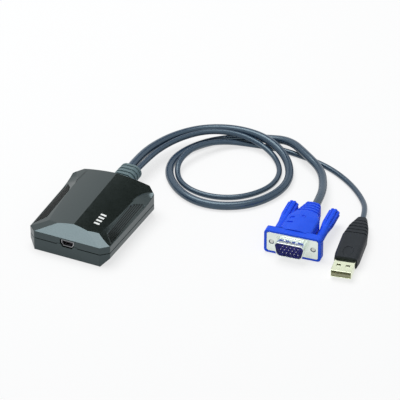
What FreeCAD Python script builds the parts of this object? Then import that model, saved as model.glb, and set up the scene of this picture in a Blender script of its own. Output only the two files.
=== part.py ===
import FreeCAD, Part
import math
import os
import re

import Sketcher
from FreeCAD import Placement, Rotation, Vector

# Driving sizes in millimetres and degrees. x runs across the case, y from its front to its cables, z up.
sizes = {
    # case outline
    "case_length": 65.0, "case_width": 51.0, "rear_flare": 1.0, "case_wall": 2.0, "floor_wall": 1.8,
    "roof_wall": 1.8, "ceiling_wall": 1.2, "cut_spare": 2.0,
    "front_cut_width": 4.5, "front_cut_depth": 4.1, "rear_cut_width": 5.3, "rear_cut_depth": 5.0,
    "parting_height": 7.8, "shoulder_height": 12.6, "shadow_gap": 0.35,
    "undercut_height": 4.4, "undercut_width": 4.5,
    # roof
    "ridge_front_height": 17.6, "ridge_front_setback": 9.2, "ridge_rear_height": 19.3,
    "roof_blank_height": 20.5, "panel_mid_offset": 13.0, "panel_mid_drop": 1.3, "panel_edge_drop": 4.4,
    "corner_slope": 0.31, "facet_start": 9.0, "facet_slope_front": 0.28,
    "scoop_setback": 18.0, "scoop_slope": 0.54, "ramp_low_setback": 13.0, "ramp_low_rise": 0.45,
    "ramp_low_slope": 0.455, "ramp_mid_setback": 8.5, "ramp_mid_rise": 1.25, "ramp_mid_slope": 0.37,
    "ramp_high_rise": 2.3, "ramp_high_slope": 0.24, "ramp_end_rise": 4.3, "ramp_end_slope": 0.1,
    "crescent_start": 19.1, "crescent_bulge": 21.1, "crescent_bulge_setback": 9.8, "crescent_share": 0.2,
    "grip_depth": 0.35, "grip_start": 7.0, "grip_end": 49.5, "grip_inner_offset": 19.4, "grip_edge_margin": 0.9,
    "grip_slant": 6.0, "grip_bend": 9.0, "grip_bulge": 1.5, "grip_bulge_setback": 4.6,
    "upper_cavity_half": 13.5,
    # socket in the front wall
    "socket_width": 7.7, "socket_tall": 3.9, "socket_length": 8.7, "socket_wall": 0.35,
    "socket_foot_width": 5.4,
    "socket_side_height": 2.2, "socket_setback": 1.0, "socket_margin": 0.55,
    "tongue_width": 13.0, "tongue_rise": 0.8, "fit_gap": 0.1,
    "insert_back": 2.0, "insert_tongue_width": 4.4, "insert_tongue_thick": 1.0, "insert_tongue_length": 4.6,
    "contact_pitch": 0.8, "contact_count": 5, "contact_width": 0.4, "contact_thick": 0.2,
    # board and what sits on it
    "board_bottom": 5.7, "board_thick": 1.6, "board_gap": 0.3, "board_rear_setback": 9.0,
    "boss_radius": 3.0, "screw_offset": 17.0, "screw_front_setback": 13.0, "screw_rear_setback": 13.5,
    "screw_radius": 1.2, "screw_head_radius": 2.2, "screw_head_tall": 1.3, "screw_reach": 10.6,
    "screw_head_sink": 0.5,
    "screw_clearance": 0.3, "pilot_gap": 0.05,
    "label_width": 30.0, "label_length": 34.0, "label_depth": 0.3,
    "processor_side": 14.0, "controller_side": 9.0, "memory_width": 8.0, "memory_length": 12.0,
    "chip_tall": 1.4, "chip_lift": 0.15, "lead_length": 1.0, "lead_width": 0.35, "lead_pitch": 1.27,
    "crystal_length": 11.0, "crystal_width": 4.6, "crystal_tall": 3.5,
    "capacitor_radius": 2.0, "capacitor_tall": 3.8, "capacitor_pitch": 5.4, "capacitor_count": 3,
    "capacitor_offset": 0.4,
    "crystal_offset": 14.0, "controller_offset": 15.0, "memory_offset": 14.5, "row_gap": 1.7, "chip_gap": 1.2,
    "header_depth": 5.0, "header_tall": 5.6, "video_header_width": 14.0, "data_header_width": 8.4,
    "header_setback": 20.5, "video_header_offset": 6.2, "data_header_offset": 7.5,
    # cable boot at the rear wall
    "boot_height": 9.5, "boot_width": 14.6, "boot_tall": 10.2, "boot_end_width": 13.6, "boot_end_tall": 9.4,
    "boot_length": 19.0, "boot_neck_width": 12.4, "boot_neck_tall": 8.0, "boot_flange": 1.5,
    "rib_start": 2.8, "rib_pitch": 3.3, "rib_slot": 1.3, "rib_depth": 1.1, "rib_count": 5,
    "bore_offset_video": 2.0, "bore_offset_data": 2.5,
    "video_cord_diameter": 5.0, "data_cord_diameter": 3.3, "tail_gap": 0.05, "tail_length": 3.0,
    "bundle_radius": 1.4, "wire_lead": 3.2, "header_wall": 0.8, "header_well": 1.6,
    "slot_share": 0.7, "slot_half": 0.3,
    # video plug
    "video_x": 116.1, "video_y": 23.0, "video_yaw": 5.5, "plug_centre": 7.7,
    "flange_width": 30.8, "flange_tall": 12.5, "flange_thick": 0.8, "flange_corner": 1.0,
    "shell_width": 17.82, "shell_tall": 9.26, "shell_depth": 6.0, "shell_wall": 0.45, "shell_corner": 2.4,
    "shell_lean": 1.3, "step_margin": 0.9, "step_thick": 0.6,
    "dimple_radius": 0.75, "dimple_depth": 0.25, "dimple_pitch": 3.6, "dimple_setback": 3.4,
    "insulator_face": 1.2, "insulator_back": 5.2, "seat_gap": 0.05,
    "pin_radius": 0.38, "pin_front": 5.3, "pin_back": 8.0, "pin_pitch": 2.29, "pin_row": 1.98,
    "pin_tip": 0.5,
    "rear_shell_width": 18.4, "rear_shell_tall": 9.8, "rear_shell_depth": 9.0,
    "block_width": 34.2, "block_tall": 15.3, "block_depth": 5.0, "block_corner": 2.2,
    "hood_half_front": 9.5, "hood_half_mid": 7.4, "hood_half_rear": 4.6, "hood_mid": 26.0,
    "hood_straight": 21.0,
    "hood_length": 39.0, "hood_low_front": 0.5, "hood_low_rear": 2.6, "hood_top_front": 15.2,
    "hood_top_rear": 13.0, "hood_crown": 1.0, "hood_corner_front": 1.7, "hood_corner_rear": 2.2,
    "hood_rib_start": 27.6, "hood_rib_pitch": 2.9, "hood_rib_slot": 1.2, "hood_rib_depth": 0.7,
    "hood_rib_count": 4, "crown_fade": 0.7,
    "dent_side": 2.4, "dent_offset": 5.8, "dent_setback": 17.5, "slot_setback": 12.6, "slot_width": 3.4,
    "slot_length": 1.1, "dent_floor": 0.9, "mark_side": 1.6, "mark_setback": 20.5, "mark_floor": 0.5,
    "screw_pitch": 25.0, "jack_radius": 1.42, "jack_gap": 0.06, "jack_tip": 0.2, "jack_depth": 20.0,
    "flange_hole_radius": 1.6, "knob_gap": 0.3, "knob_front_radius": 2.6, "knob_rear_radius": 3.5,
    "knob_taper_start": 20.0, "knob_taper_end": 28.0, "knob_end": 40.2, "flute_radius": 0.9, "flute_count": 8,
    "flute_offset": 0.1, "flute_lead": 2.0, "knob_chamfer": 0.6, "jack_chamfer": 0.4, "knob_dish": 0.8,
    "jack_press_gap": 0.02,
    # data plug
    "data_x": 150.5, "data_y": 13.5, "data_yaw": 10.5, "data_centre": 4.0,
    "usb_width": 12.0, "usb_tall": 4.5, "usb_exposed": 12.0, "usb_inset": 6.0, "usb_wall": 0.3,
    "usb_window": 2.4, "usb_window_offset": 2.7, "usb_window_setback": 4.6,
    "usb_insert_thick": 1.85, "usb_insert_setback": 0.6, "usb_insert_end": 16.0,
    "usb_contact_thick": 0.15, "usb_contact_width": 1.1, "usb_contact_length": 8.0, "usb_contact_setback": 0.9,
    "usb_outer_contact": 3.5, "usb_inner_contact": 1.0,
    "mould_half_front": 6.7, "mould_half_wide": 7.3, "mould_half_tail": 3.1, "mould_tall": 8.0,
    "mould_wide_start": 17.0, "mould_wide_end": 36.0, "mould_mid": 47.0, "mould_half_mid": 5.7,
    "mould_end": 56.0, "mould_tail_tall": 5.4, "mould_corner": 2.2,
    "mould_rib_start": 37.0, "mould_rib_pitch": 3.4, "mould_rib_slot": 1.1, "mould_rib_depth": 0.6,
    "mould_rib_count": 5,
    "emblem_length": 9.0, "emblem_width": 5.6, "emblem_depth": 0.3, "emblem_setback": 18.6,
}

# Points of the two free cords, from the boot to the plugs.
video_route = [
    (-2.0, 51.5, 9.5), (-2.3, 66.0, 9.5), (0.1, 82.0, 9.4), (7.0, 99.0, 9.1), (19.0, 113.2, 8.7),
    (37.4, 121.4, 8.2), (57.0, 120.6, 7.3), (73.6, 111.0, 4.8), (83.6, 95.0, 2.7), (84.2, 77.5, 2.5),
    (75.6, 59.8, 2.5), (60.8, 49.4, 2.5), (43.6, 47.2, 2.5), (27.6, 54.6, 2.5), (15.0, 69.0, 2.5),
    (12.2, 86.4, 2.5), (19.8, 104.8, 2.5), (33.6, 118.2, 2.5), (52.0, 125.8, 2.8), (69.6, 125.6, 6.3),
    (84.6, 115.0, 6.7), (98.8, 105.4, 5.2), (106.8, 89.5, 5.6), (110.8, 75.0, 7.4), (112.36, 61.82, 7.7),
]
data_route = [
    (2.5, 51.5, 9.5), (3.1, 66.0, 9.4), (5.2, 80.5, 9.6), (11.6, 96.0, 9.9), (22.6, 109.4, 9.8),
    (38.4, 116.7, 8.3), (54.4, 116.8, 4.9), (67.6, 110.0, 2.2), (76.4, 96.5, 1.65), (76.6, 80.0, 1.65),
    (66.4, 64.4, 1.65), (51.2, 57.0, 1.65), (35.0, 58.0, 1.65), (22.6, 66.4, 1.65), (17.4, 79.0, 5.4),
    (21.6, 96.0, 7.2), (32.8, 110.8, 4.4), (48.4, 118.4, 1.65), (66.0, 120.8, 1.65), (84.0, 118.8, 1.65),
    (101.0, 114.4, 1.65), (118.0, 104.4, 1.65), (131.6, 90.6, 2.4), (137.9, 79.2, 3.7), (140.29, 68.56, 4.0),
]

doc = FreeCAD.newDocument("KvmDongle")
sheet = doc.addObject("Spreadsheet::Sheet", "Sizes")
for row, (alias, number) in enumerate(sizes.items(), start=1):
    sheet.set(f"A{row}", alias)
    sheet.set(f"B{row}", str(number))
    sheet.setAlias(f"B{row}", alias)
doc.recompute()

aliasWord = re.compile(r"[a-z]+(?:_[a-z]+)+")
across = Vector(1, 0, 0)
upward = Vector(0, 0, 1)
cornerBow = 0.2929  # how far a quarter round stays back from its corner, as a share of its radius
lowKnee = 0.3  # the share of the mouth's lean at which its lower corners end
bendShare = 0.45  # the share of the shorter leg that a bend of a cord may take
leadRise = 3  # a chip's leads reach up one part in this many of its height
nodes = {}


def value(text):
    found = sheet.evalExpression(text)
    return float(getattr(found, "Value", found))


def bound(text):
    return aliasWord.sub(lambda word: "Sizes." + word.group(), text)


def minus(text):
    return f"-({text})"


def place(thing, x="0", y="0", z="0", yaw=None, turn=None):
    if turn:
        thing.Placement = Placement(Vector(), Rotation(*turn))
    if yaw:
        thing.Placement = Placement(Vector(), Rotation(upward, 1))
        thing.setExpression("Placement.Rotation.Angle", bound(yaw))
    for letter, text in zip("xyz", (x, y, z)):
        thing.setExpression(f"Placement.Base.{letter}", bound(text))
    return thing


def inCase(thing):
    return thing


def inVideoPlug(thing):
    return place(thing, "video_x", "video_y", "0", yaw="video_yaw")


def inDataPlug(thing):
    return place(thing, "data_x", "data_y", "0", yaw="data_yaw")


def node(name, thing, frame=inCase):
    frame(thing)
    thing.Label = name
    nodes[name] = thing
    doc.recompute()
    return thing


# ---- sketches and features of a body ----

def newBody(name):
    return doc.addObject("PartDesign::Body", name + "_body")


def newSketch(body, role, offset=("0", "0", "0"), turn=None):
    sketch = body.newObject("Sketcher::SketchObject", body.Name + "_outline")
    plane = next(feature for feature in body.Origin.OriginFeatures if feature.Role == role)
    sketch.AttachmentSupport = (plane, [""])
    sketch.MapMode = "FlatFace"
    if turn:
        axis, angle = turn
        sketch.AttachmentOffset = Placement(Vector(), Rotation(axis, 1))
        sketch.setExpression("AttachmentOffset.Rotation.Angle", bound(angle))
    for letter, text in zip("xyz", offset):
        sketch.setExpression(f"AttachmentOffset.Base.{letter}", bound(text))
    return sketch


def flatSketch(body, height="0"):
    return newSketch(body, "XY_Plane", ("0", "0", height))


def crossSketch(body, setback="0", height="0"):
    # looks along +y: sketch x is x, sketch y is z, and its normal is -y
    return newSketch(body, "XZ_Plane", ("0", height, minus(setback)))


def pin(sketch, geometry, end, x, y):
    for kind, text in (("DistanceX", x), ("DistanceY", y)):
        index = sketch.addConstraint(Sketcher.Constraint(kind, -1, 1, geometry, end, value(text)))
        sketch.setExpression(f"Constraints[{index}]", bound(text))


def drawLoop(sketch, points):
    # a point is (x, y), or (x, y, middle x, middle y) where an arc leads to it
    corners = [Vector(value(point[0]), value(point[1]), 0) for point in points]
    ends = []
    for number, point in enumerate(points):
        start = corners[number - 1]
        finish = corners[number]
        if len(point) == 4:
            middle = Vector(value(point[2]), value(point[3]), 0)
            leftward = (middle - start).cross(finish - middle).z > 0
            if leftward:
                edge = sketch.addGeometry(Part.Arc(start, middle, finish))
                ends.append((edge, 1, 2))
            else:
                edge = sketch.addGeometry(Part.Arc(finish, middle, start))
                ends.append((edge, 2, 1))
            mark = sketch.addGeometry(Part.Point(middle), True)
            pin(sketch, mark, 1, point[2], point[3])
            sketch.addConstraint(Sketcher.Constraint("PointOnObject", mark, 1, edge))
        else:
            edge = sketch.addGeometry(Part.LineSegment(start, finish))
            ends.append((edge, 1, 2))
    for number, point in enumerate(points):
        edge, first, last = ends[number]
        before, _, beforeLast = ends[number - 1]
        sketch.addConstraint(Sketcher.Constraint("Coincident", before, beforeLast, edge, first))
        pin(sketch, edge, last, point[0], point[1])


def drawCircle(sketch, x, y, radius):
    circle = sketch.addGeometry(Part.Circle(Vector(value(x), value(y), 0), upward, value(radius)))
    pin(sketch, circle, 3, x, y)
    index = sketch.addConstraint(Sketcher.Constraint("Radius", circle, value(radius)))
    sketch.setExpression(f"Constraints[{index}]", bound(radius))


def drawBox(sketch, left, right, low, high):
    drawLoop(sketch, [(left, low), (right, low), (right, high), (left, high)])


def rounded(half, low, high, corner, crown="0"):
    # a rounded rectangle about x = 0, its top bowed up by crown
    near = f"{half} - {corner}"
    bend = f"{corner} * (1 - sqrt(0.5))"
    right = f"{half} - {bend}"
    points = [(near, low), (half, f"{low} + {corner}", right, f"{low} + {bend}"),
              (half, f"{high} - {corner}"), (near, high, right, f"{high} - {bend}")]
    if crown == "0":
        points.append((minus(near), high))
    else:
        points.append((minus(near), high, "0", f"{high} + {crown}"))
    points += [(minus(half), f"{high} - {corner}", minus(right), f"{high} - {bend}"),
               (minus(half), f"{low} + {corner}"),
               (minus(near), low, minus(right), f"{low} + {bend}")]
    return points


def oval(width, tall):
    flat = f"(({width}) - ({tall})) / 2"
    high = f"({tall}) / 2"
    end = f"({width}) / 2"
    return [(flat, minus(high)), (flat, high, end, "0"),
            (minus(flat), high), (minus(flat), minus(high), minus(end), "0")]


def volumeOf(body):
    return body.Shape.Volume if not body.Shape.isNull() else 0.0


def feature(body, kind, sketch, adds, **texts):
    before = volumeOf(body)
    made = body.newObject("PartDesign::" + kind, body.Name + "_" + kind)
    made.Profile = sketch
    for name, setting in texts.items():
        if isinstance(setting, str):
            made.setExpression(name, bound(setting))
        else:
            setattr(made, name, setting)
    doc.recompute()
    change = volumeOf(body) - before
    if (change > 0) != adds or abs(change) < 1e-4:
        raise RuntimeError(f"{made.Name} changed the volume by {change}")
    return made


def pad(body, sketch, length, reverse=False):
    return feature(body, "Pad", sketch, True, Length=length, Reversed=reverse)


def pocket(body, sketch, length, reverse=False):
    return feature(body, "Pocket", sketch, False, Length=length, Reversed=reverse)


def pocketThrough(body, sketch):
    return feature(body, "Pocket", sketch, False, Type=1, Midplane=True)


def loft(body, sketches, adds=True):
    kind = "AdditiveLoft" if adds else "SubtractiveLoft"
    return feature(body, kind, sketches[0], adds, Sections=sketches[1:], Ruled=True)


def pattern(body, kind, original, direction, length, count):
    before = volumeOf(body)
    made = body.newObject("PartDesign::" + kind, body.Name + "_" + kind)
    made.Originals = [original]
    if kind == "LinearPattern":
        made.Direction = direction
        made.Reversed = True
        made.setExpression("Length", bound(length))
    else:
        made.Axis = direction
        made.Angle = 360
    made.setExpression("Occurrences", bound(count))
    body.Tip = made
    doc.recompute()
    if abs(volumeOf(body) - before) < 1e-4:
        raise RuntimeError(f"{made.Name} changed nothing")
    return made


# ---- Part primitives ----

def box(name, left, right, front, back, low, high):
    solid = doc.addObject("Part::Box", name)
    solid.setExpression("Length", bound(f"({right}) - ({left})"))
    solid.setExpression("Width", bound(f"({back}) - ({front})"))
    solid.setExpression("Height", bound(f"({high}) - ({low})"))
    return place(solid, left, front, low)


def cylinder(name, radius, tall, x, y, z, turn=None):
    solid = doc.addObject("Part::Cylinder", name)
    solid.setExpression("Radius", bound(radius))
    solid.setExpression("Height", bound(tall))
    return place(solid, x, y, z, turn=turn)


def fuse(name, solids):
    made = doc.addObject("Part::MultiFuse", name)
    made.Shapes = solids
    return made


def cut(name, base, tool):
    made = doc.addObject("Part::Cut", name)
    made.Base = base
    made.Tool = tool
    return made


def group(name, solids):
    made = doc.addObject("Part::Compound", name)
    made.Links = solids
    return made


# ---- shared places ----

front = "-case_length / 2"
rear = "case_length / 2"
frontHalf = "case_width / 2"
rearHalf = "(case_width / 2 + rear_flare)"
boardTop = "board_bottom + board_thick"
screwSpots = [(side + "screw_offset", y) for side in ("", "-")
              for y in (f"{front} + screw_front_setback", f"{rear} - screw_rear_setback")]


def sideAt(y):
    # half the case's width, which grows a little towards the cables
    run = "case_length - front_cut_depth - rear_cut_depth"
    return f"({frontHalf} + rear_flare * (({y}) - ({front}) - front_cut_depth) / ({run}))"


def octagon(inset):
    # the case outline, each side moved in by inset
    frontSlant = "sqrt(front_cut_width ^ 2 + front_cut_depth ^ 2)"
    rearSlant = "sqrt(rear_cut_width ^ 2 + rear_cut_depth ^ 2)"
    flatFront = f"{frontHalf} - front_cut_width - {inset} * ({frontSlant} - front_cut_width) / front_cut_depth"
    sideFront = f"{front} + front_cut_depth + {inset} * ({frontSlant} - front_cut_depth) / front_cut_width"
    sideRear = f"{rear} - rear_cut_depth - {inset} * ({rearSlant} - rear_cut_depth) / rear_cut_width"
    flatRear = f"{rearHalf} - rear_cut_width - {inset} * ({rearSlant} - rear_cut_width) / rear_cut_depth"
    right = [(flatFront, f"{front} + {inset}"), (f"{frontHalf} - {inset}", sideFront),
             (f"{rearHalf} - {inset}", sideRear), (flatRear, f"{rear} - {inset}")]
    return right + [(minus(x), y) for x, y in reversed(right)]


def socketOutline(margin):
    # the receptacle's mouth: wide above, its lower corners cut in
    low = f"{boardTop} - {margin}"
    high = f"{boardTop} + socket_tall + {margin}"
    wide = f"socket_width / 2 + {margin}"
    foot = f"socket_foot_width / 2 + {margin} / 2"
    knee = f"{boardTop} + socket_tall - socket_side_height"
    return [(foot, low), (wide, knee), (wide, high), (minus(wide), high), (minus(wide), knee),
            (minus(foot), low)]


def bottomCover():
    body = newBody("bottom_cover")
    outline = flatSketch(body)
    drawLoop(outline, octagon("0"))
    pad(body, outline, "parting_height")
    for sign in ("", "-"):
        undercut = []
        for y in (rear, front):
            side = sideAt(y)
            undercut.append(crossSketch(body, y))
            drawLoop(undercut[-1], [(f"{sign}{side}", "undercut_height"),
                                    (f"{sign}({side} - undercut_width)", "0"),
                                    (f"{sign}({side} - undercut_width)", "-cut_spare"),
                                    (f"{sign}({side} + cut_spare)", "-cut_spare"),
                                    (f"{sign}({side} + cut_spare)", "undercut_height")])
        loft(body, undercut, adds=False)
    rim = flatSketch(body, "parting_height")
    drawLoop(rim, octagon("case_wall"))
    pocket(body, rim, "parting_height - undercut_height")
    well = flatSketch(body, "undercut_height")
    wellHalf = f"{frontHalf} - undercut_width * (1 - floor_wall / undercut_height) - case_wall"
    drawBox(well, minus(wellHalf), wellHalf, f"{front} + front_cut_depth", f"{rear} - rear_cut_depth")
    pocket(body, well, "undercut_height - floor_wall")
    tongue = crossSketch(body, front)
    drawBox(tongue, "-tongue_width / 2", "tongue_width / 2", "parting_height", "parting_height + tongue_rise")
    pad(body, tongue, "case_wall", reverse=True)
    bosses = flatSketch(body)
    for x, y in screwSpots:
        drawCircle(bosses, x, y, "boss_radius")
    pad(body, bosses, "board_bottom")
    heads = flatSketch(body)
    shanks = flatSketch(body)
    for x, y in screwSpots:
        drawCircle(heads, x, y, "screw_head_radius + screw_clearance")
        drawCircle(shanks, x, y, "screw_radius + screw_clearance")
    pocket(body, heads, "screw_head_sink + screw_head_tall", reverse=True)
    pocket(body, shanks, "board_bottom", reverse=True)
    mouth = crossSketch(body, front)
    drawLoop(mouth, socketOutline("socket_margin"))
    pocket(body, mouth, "case_wall")
    collar = crossSketch(body, rear, "boot_height")
    drawLoop(collar, oval("boot_neck_width + 2 * fit_gap", "boot_neck_tall + 2 * fit_gap"))
    pocket(body, collar, "case_wall", reverse=True)
    label = flatSketch(body)
    drawBox(label, "-label_width / 2", "label_width / 2", "-label_length / 2", "label_length / 2")
    pocket(body, label, "label_depth", reverse=True)
    return body


def facetSections(body, sign, lowered):
    # what is cut away above a side facet, from the rear, where the facet ramps up to the roof, to the front
    stations = [("0", "ramp_end_rise", "ramp_end_slope"),
                ("rear_cut_depth", "ramp_high_rise", "ramp_high_slope"),
                ("ramp_mid_setback", "ramp_mid_rise", "ramp_mid_slope"),
                ("ramp_low_setback", "ramp_low_rise", "ramp_low_slope"), ("scoop_setback", "0", "scoop_slope"),
                ("case_length", "0", "facet_slope_front")]
    sections = []
    for setback, rise, slope in stations:
        y = f"{rear} - {setback}"
        section = crossSketch(body, y)
        side = sideAt(y)
        base = f"shoulder_height + {rise} - {lowered}"
        drawLoop(section, [(f"{sign}({side} + cut_spare)", f"{base} - cut_spare * {slope}"),
                           (f"{sign}facet_start", f"{base} + ({side} - facet_start) * {slope}"),
                           (f"{sign}facet_start", "roof_blank_height + 3 * cut_spare"),
                           (f"{sign}({side} + cut_spare)", "roof_blank_height + 3 * cut_spare")])
        sections.append(section)
    return sections


def mirrored(sign, points):
    return [tuple(f"{sign}({text})" if number % 2 == 0 else text for number, text in enumerate(point))
            for point in points]


def gripOutline(sign):
    start = f"{front} + grip_start"
    end = f"{front} + grip_end"
    return mirrored(sign, [("grip_inner_offset", f"{start} + grip_slant"),
                           (f"{sideAt(start)} - grip_edge_margin", start),
                           (f"{sideAt(end)} - grip_edge_margin", end),
                           ("grip_inner_offset", f"{end} - grip_bend", "grip_inner_offset + grip_bulge",
                            f"{end} - grip_bulge_setback")])


def roofOutline():
    # where the roof runs on past the side facets, whose rear ends are crescents that reach the rear corners
    crescentEnd = (f"{rearHalf} - crescent_share * rear_cut_width",
                   f"{rear} - (1 - crescent_share) * rear_cut_depth")
    crescentFront = ("crescent_start", f"{rear} - scoop_setback")
    bulge = ("crescent_bulge", f"{rear} - crescent_bulge_setback")
    right = [("facet_start", front), ("facet_start", crescentFront[1]), crescentFront, crescentEnd + bulge,
             (f"{rearHalf} - rear_cut_width", rear)]
    left = [(f"-({rearHalf} - rear_cut_width)", rear), (minus(crescentEnd[0]), crescentEnd[1]),
            (minus(crescentFront[0]), crescentFront[1], minus(bulge[0]), bulge[1]),
            ("-facet_start", crescentFront[1]), ("-facet_start", front)]
    return right + left


def slopeCut(body, x, heading, slope):
    # takes off all above a plane that rises inward from the top edge of a front wall
    profile = newSketch(body, "YZ_Plane", (front, "shoulder_height", x), (Vector(0, 1, 0), heading))
    reach = "case_length"
    drawLoop(profile, [("-cut_spare", f"-cut_spare * {slope}"), (reach, f"{reach} * {slope}"),
                       ("-cut_spare", f"{reach} * {slope}")])
    pocketThrough(body, profile)


def topCover():
    body = newBody("top_cover")
    reveal = flatSketch(body, "parting_height")
    drawLoop(reveal, octagon("shadow_gap"))
    pad(body, reveal, "shadow_gap")
    wallTop = "roof_blank_height - parting_height - shadow_gap"
    blank = flatSketch(body, "parting_height + shadow_gap")
    drawLoop(blank, octagon("0"))
    pad(body, blank, wallTop)
    for sign in ("", "-"):
        loft(body, facetSections(body, sign, "grip_depth"), adds=False)
    refill = flatSketch(body, "parting_height + shadow_gap")
    drawLoop(refill, octagon("0"))
    for sign in ("", "-"):
        drawLoop(refill, gripOutline(sign))
    pad(body, refill, wallTop)
    for sign in ("", "-"):
        loft(body, facetSections(body, sign, "0"), adds=False)
    roofBlank = flatSketch(body, "parting_height + shadow_gap")
    drawLoop(roofBlank, roofOutline())
    pad(body, roofBlank, wallTop)
    slopeCut(body, "0", "0", "(ridge_front_height - shoulder_height) / ridge_front_setback")
    for sign in ("", "-"):
        slopeCut(body, f"{sign}({frontHalf} - front_cut_width)",
                 f"{sign}atan(front_cut_depth / front_cut_width)", "corner_slope")
    pitch = "atan((ridge_rear_height - ridge_front_height) / (case_length - ridge_front_setback))"
    ridge = ("0", "ridge_front_height", minus(f"{front} + ridge_front_setback"))
    roof = newSketch(body, "XZ_Plane", ridge, (across, pitch))
    edge = f"{rearHalf} + cut_spare / 2"
    drawLoop(roof, [(edge, "-panel_edge_drop", "panel_mid_offset", "-panel_mid_drop"),
                    (edge, "roof_blank_height"),
                    (minus(edge), "roof_blank_height"), (minus(edge), "-panel_edge_drop"),
                    ("0", "0", "-panel_mid_offset", "-panel_mid_drop")])
    pocketThrough(body, roof)
    cavity = flatSketch(body, "parting_height")
    drawLoop(cavity, octagon("case_wall"))
    ceiling = "shoulder_height - ceiling_wall"
    pocket(body, cavity, f"{ceiling} - parting_height", reverse=True)
    vault = newSketch(body, "XZ_Plane", ridge, (across, pitch))
    side = "-panel_mid_drop - roof_wall"
    low = f"{ceiling} - ridge_front_height - cut_spare"
    drawLoop(vault, [("upper_cavity_half", low), ("upper_cavity_half", side), ("0", "-roof_wall"),
                     ("-upper_cavity_half", side), ("-upper_cavity_half", low)])
    pocket(body, vault, "case_length - ridge_front_setback - case_wall")
    bosses = flatSketch(body, boardTop)
    for x, y in screwSpots:
        drawCircle(bosses, x, y, "boss_radius")
    pad(body, bosses, f"{ceiling} + ceiling_wall / 2 - ({boardTop})")
    pilots = flatSketch(body, boardTop)
    for x, y in screwSpots:
        drawCircle(pilots, x, y, "screw_radius + pilot_gap")
    pocket(body, pilots, f"screw_reach + screw_clearance - ({boardTop})", reverse=True)
    notch = crossSketch(body, front)
    drawBox(notch, "-tongue_width / 2 - fit_gap", "tongue_width / 2 + fit_gap", "parting_height - cut_spare",
            "parting_height + tongue_rise + fit_gap")
    pocket(body, notch, "case_wall + fit_gap")
    mouth = crossSketch(body, front)
    drawLoop(mouth, socketOutline("socket_margin"))
    pocket(body, mouth, "case_wall")
    collar = crossSketch(body, rear, "boot_height")
    drawLoop(collar, oval("boot_neck_width + 2 * fit_gap", "boot_neck_tall + 2 * fit_gap"))
    pocket(body, collar, "case_wall", reverse=True)
    return body


def board():
    body = newBody("main_board")
    outline = flatSketch(body, "board_bottom")
    corners = octagon("(case_wall + board_gap)")
    back = f"{rear} - board_rear_setback"
    wide = f"{frontHalf} - case_wall - board_gap"
    drawLoop(outline, [corners[0], corners[1], (wide, back), (minus(wide), back), corners[6], corners[7]])
    pad(body, outline, "board_thick")
    holes = flatSketch(body, "board_bottom")
    for x, y in screwSpots:
        drawCircle(holes, x, y, "screw_radius + screw_clearance")
    pocket(body, holes, "board_thick", reverse=True)
    return body


def socketShell():
    body = newBody("mini_usb_shell")
    outside = crossSketch(body, f"{front} + socket_setback")
    drawLoop(outside, socketOutline("0"))
    pad(body, outside, "socket_length", reverse=True)
    inside = crossSketch(body, f"{front} + socket_setback")
    drawLoop(inside, socketOutline("(-socket_wall)"))
    pocket(body, inside, "socket_length - socket_wall")
    return body


def socketInsert():
    body = newBody("mini_usb_insert")
    back = f"{front} + socket_setback + socket_length - socket_wall - insert_back"
    block = crossSketch(body, back)
    drawLoop(block, socketOutline("(-socket_wall - seat_gap)"))
    pad(body, block, "insert_back", reverse=True)
    blade = crossSketch(body, f"{back} - insert_tongue_length")
    middle = f"{boardTop} + socket_tall / 2"
    drawBox(blade, "-insert_tongue_width / 2", "insert_tongue_width / 2",
            f"{middle} - insert_tongue_thick / 2", f"{middle} + insert_tongue_thick / 2")
    pad(body, blade, "insert_tongue_length", reverse=True)
    return body


def contactRow(name, count, pitch, width, y, length, low, thick):
    strips = []
    for number in range(count):
        middle = f"{pitch} * {number - (count - 1) / 2}"
        strips.append(box(f"{name}_{number}", f"{middle} - {width} / 2", f"{middle} + {width} / 2",
                          y, f"{y} + {length}", low, f"{low} + {thick}"))
    return group(name + "_row", strips)


def chip(name, x, y, width, length, sides="xy"):
    # a flat package with a row of leads on its sides
    low = f"{boardTop} + chip_lift"
    solids = [box(name + "_case", f"{x} - {width} / 2", f"{x} + {width} / 2", f"{y} - {length} / 2",
                  f"{y} + {length} / 2", low, f"{low} + chip_tall")]
    for side in sides:
        run, reach = (length, width) if side == "x" else (width, length)
        count = int(value(f"{run} - 1") / value("lead_pitch"))
        for number in range(count):
            along = f"lead_pitch * {number - (count - 1) / 2}"
            near, far = (f"{along} - lead_width / 2", f"{along} + lead_width / 2")
            span = f"{reach} / 2 + lead_length"
            if side == "x":
                edges = (f"{x} - {span}", f"{x} + {span}", f"{y} + {near}", f"{y} + {far}")
            else:
                edges = (f"{x} + {near}", f"{x} + {far}", f"{y} - {span}", f"{y} + {span}")
            solids.append(box(f"{name}_lead_{side}{number}", *edges, boardTop,
                              f"{low} + chip_tall / {leadRise}"))
    return fuse(name + "_package", solids)


def crystal(x, y):
    body = newBody("crystal")
    can = flatSketch(body, boardTop)
    flat = "(crystal_length - crystal_width) / 2"
    wide = "crystal_width / 2"
    drawLoop(can, [(f"{x} + {flat}", f"{y} - {wide}"),
                   (f"{x} + {flat}", f"{y} + {wide}", f"{x} + crystal_length / 2", y),
                   (f"{x} - {flat}", f"{y} + {wide}"),
                   (f"{x} - {flat}", f"{y} - {wide}", f"{x} - crystal_length / 2", y)])
    pad(body, can, "crystal_tall")
    return body


def header(name, x, width):
    # a wire-to-board header, open above
    y = f"{rear} - header_setback"
    top = f"{boardTop} + header_tall"
    shell = box(name + "_block", f"{x} - {width} / 2", f"{x} + {width} / 2", f"{y} - header_depth / 2",
                f"{y} + header_depth / 2", boardTop, top)
    well = box(name + "_well", f"{x} - {width} / 2 + header_wall", f"{x} + {width} / 2 - header_wall",
               f"{y} - header_depth / 2 + header_wall", f"{y} + header_depth / 2 - header_wall",
               f"{top} - header_well", f"{top} + cut_spare")
    return cut(name + "_hollow", shell, well)


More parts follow.
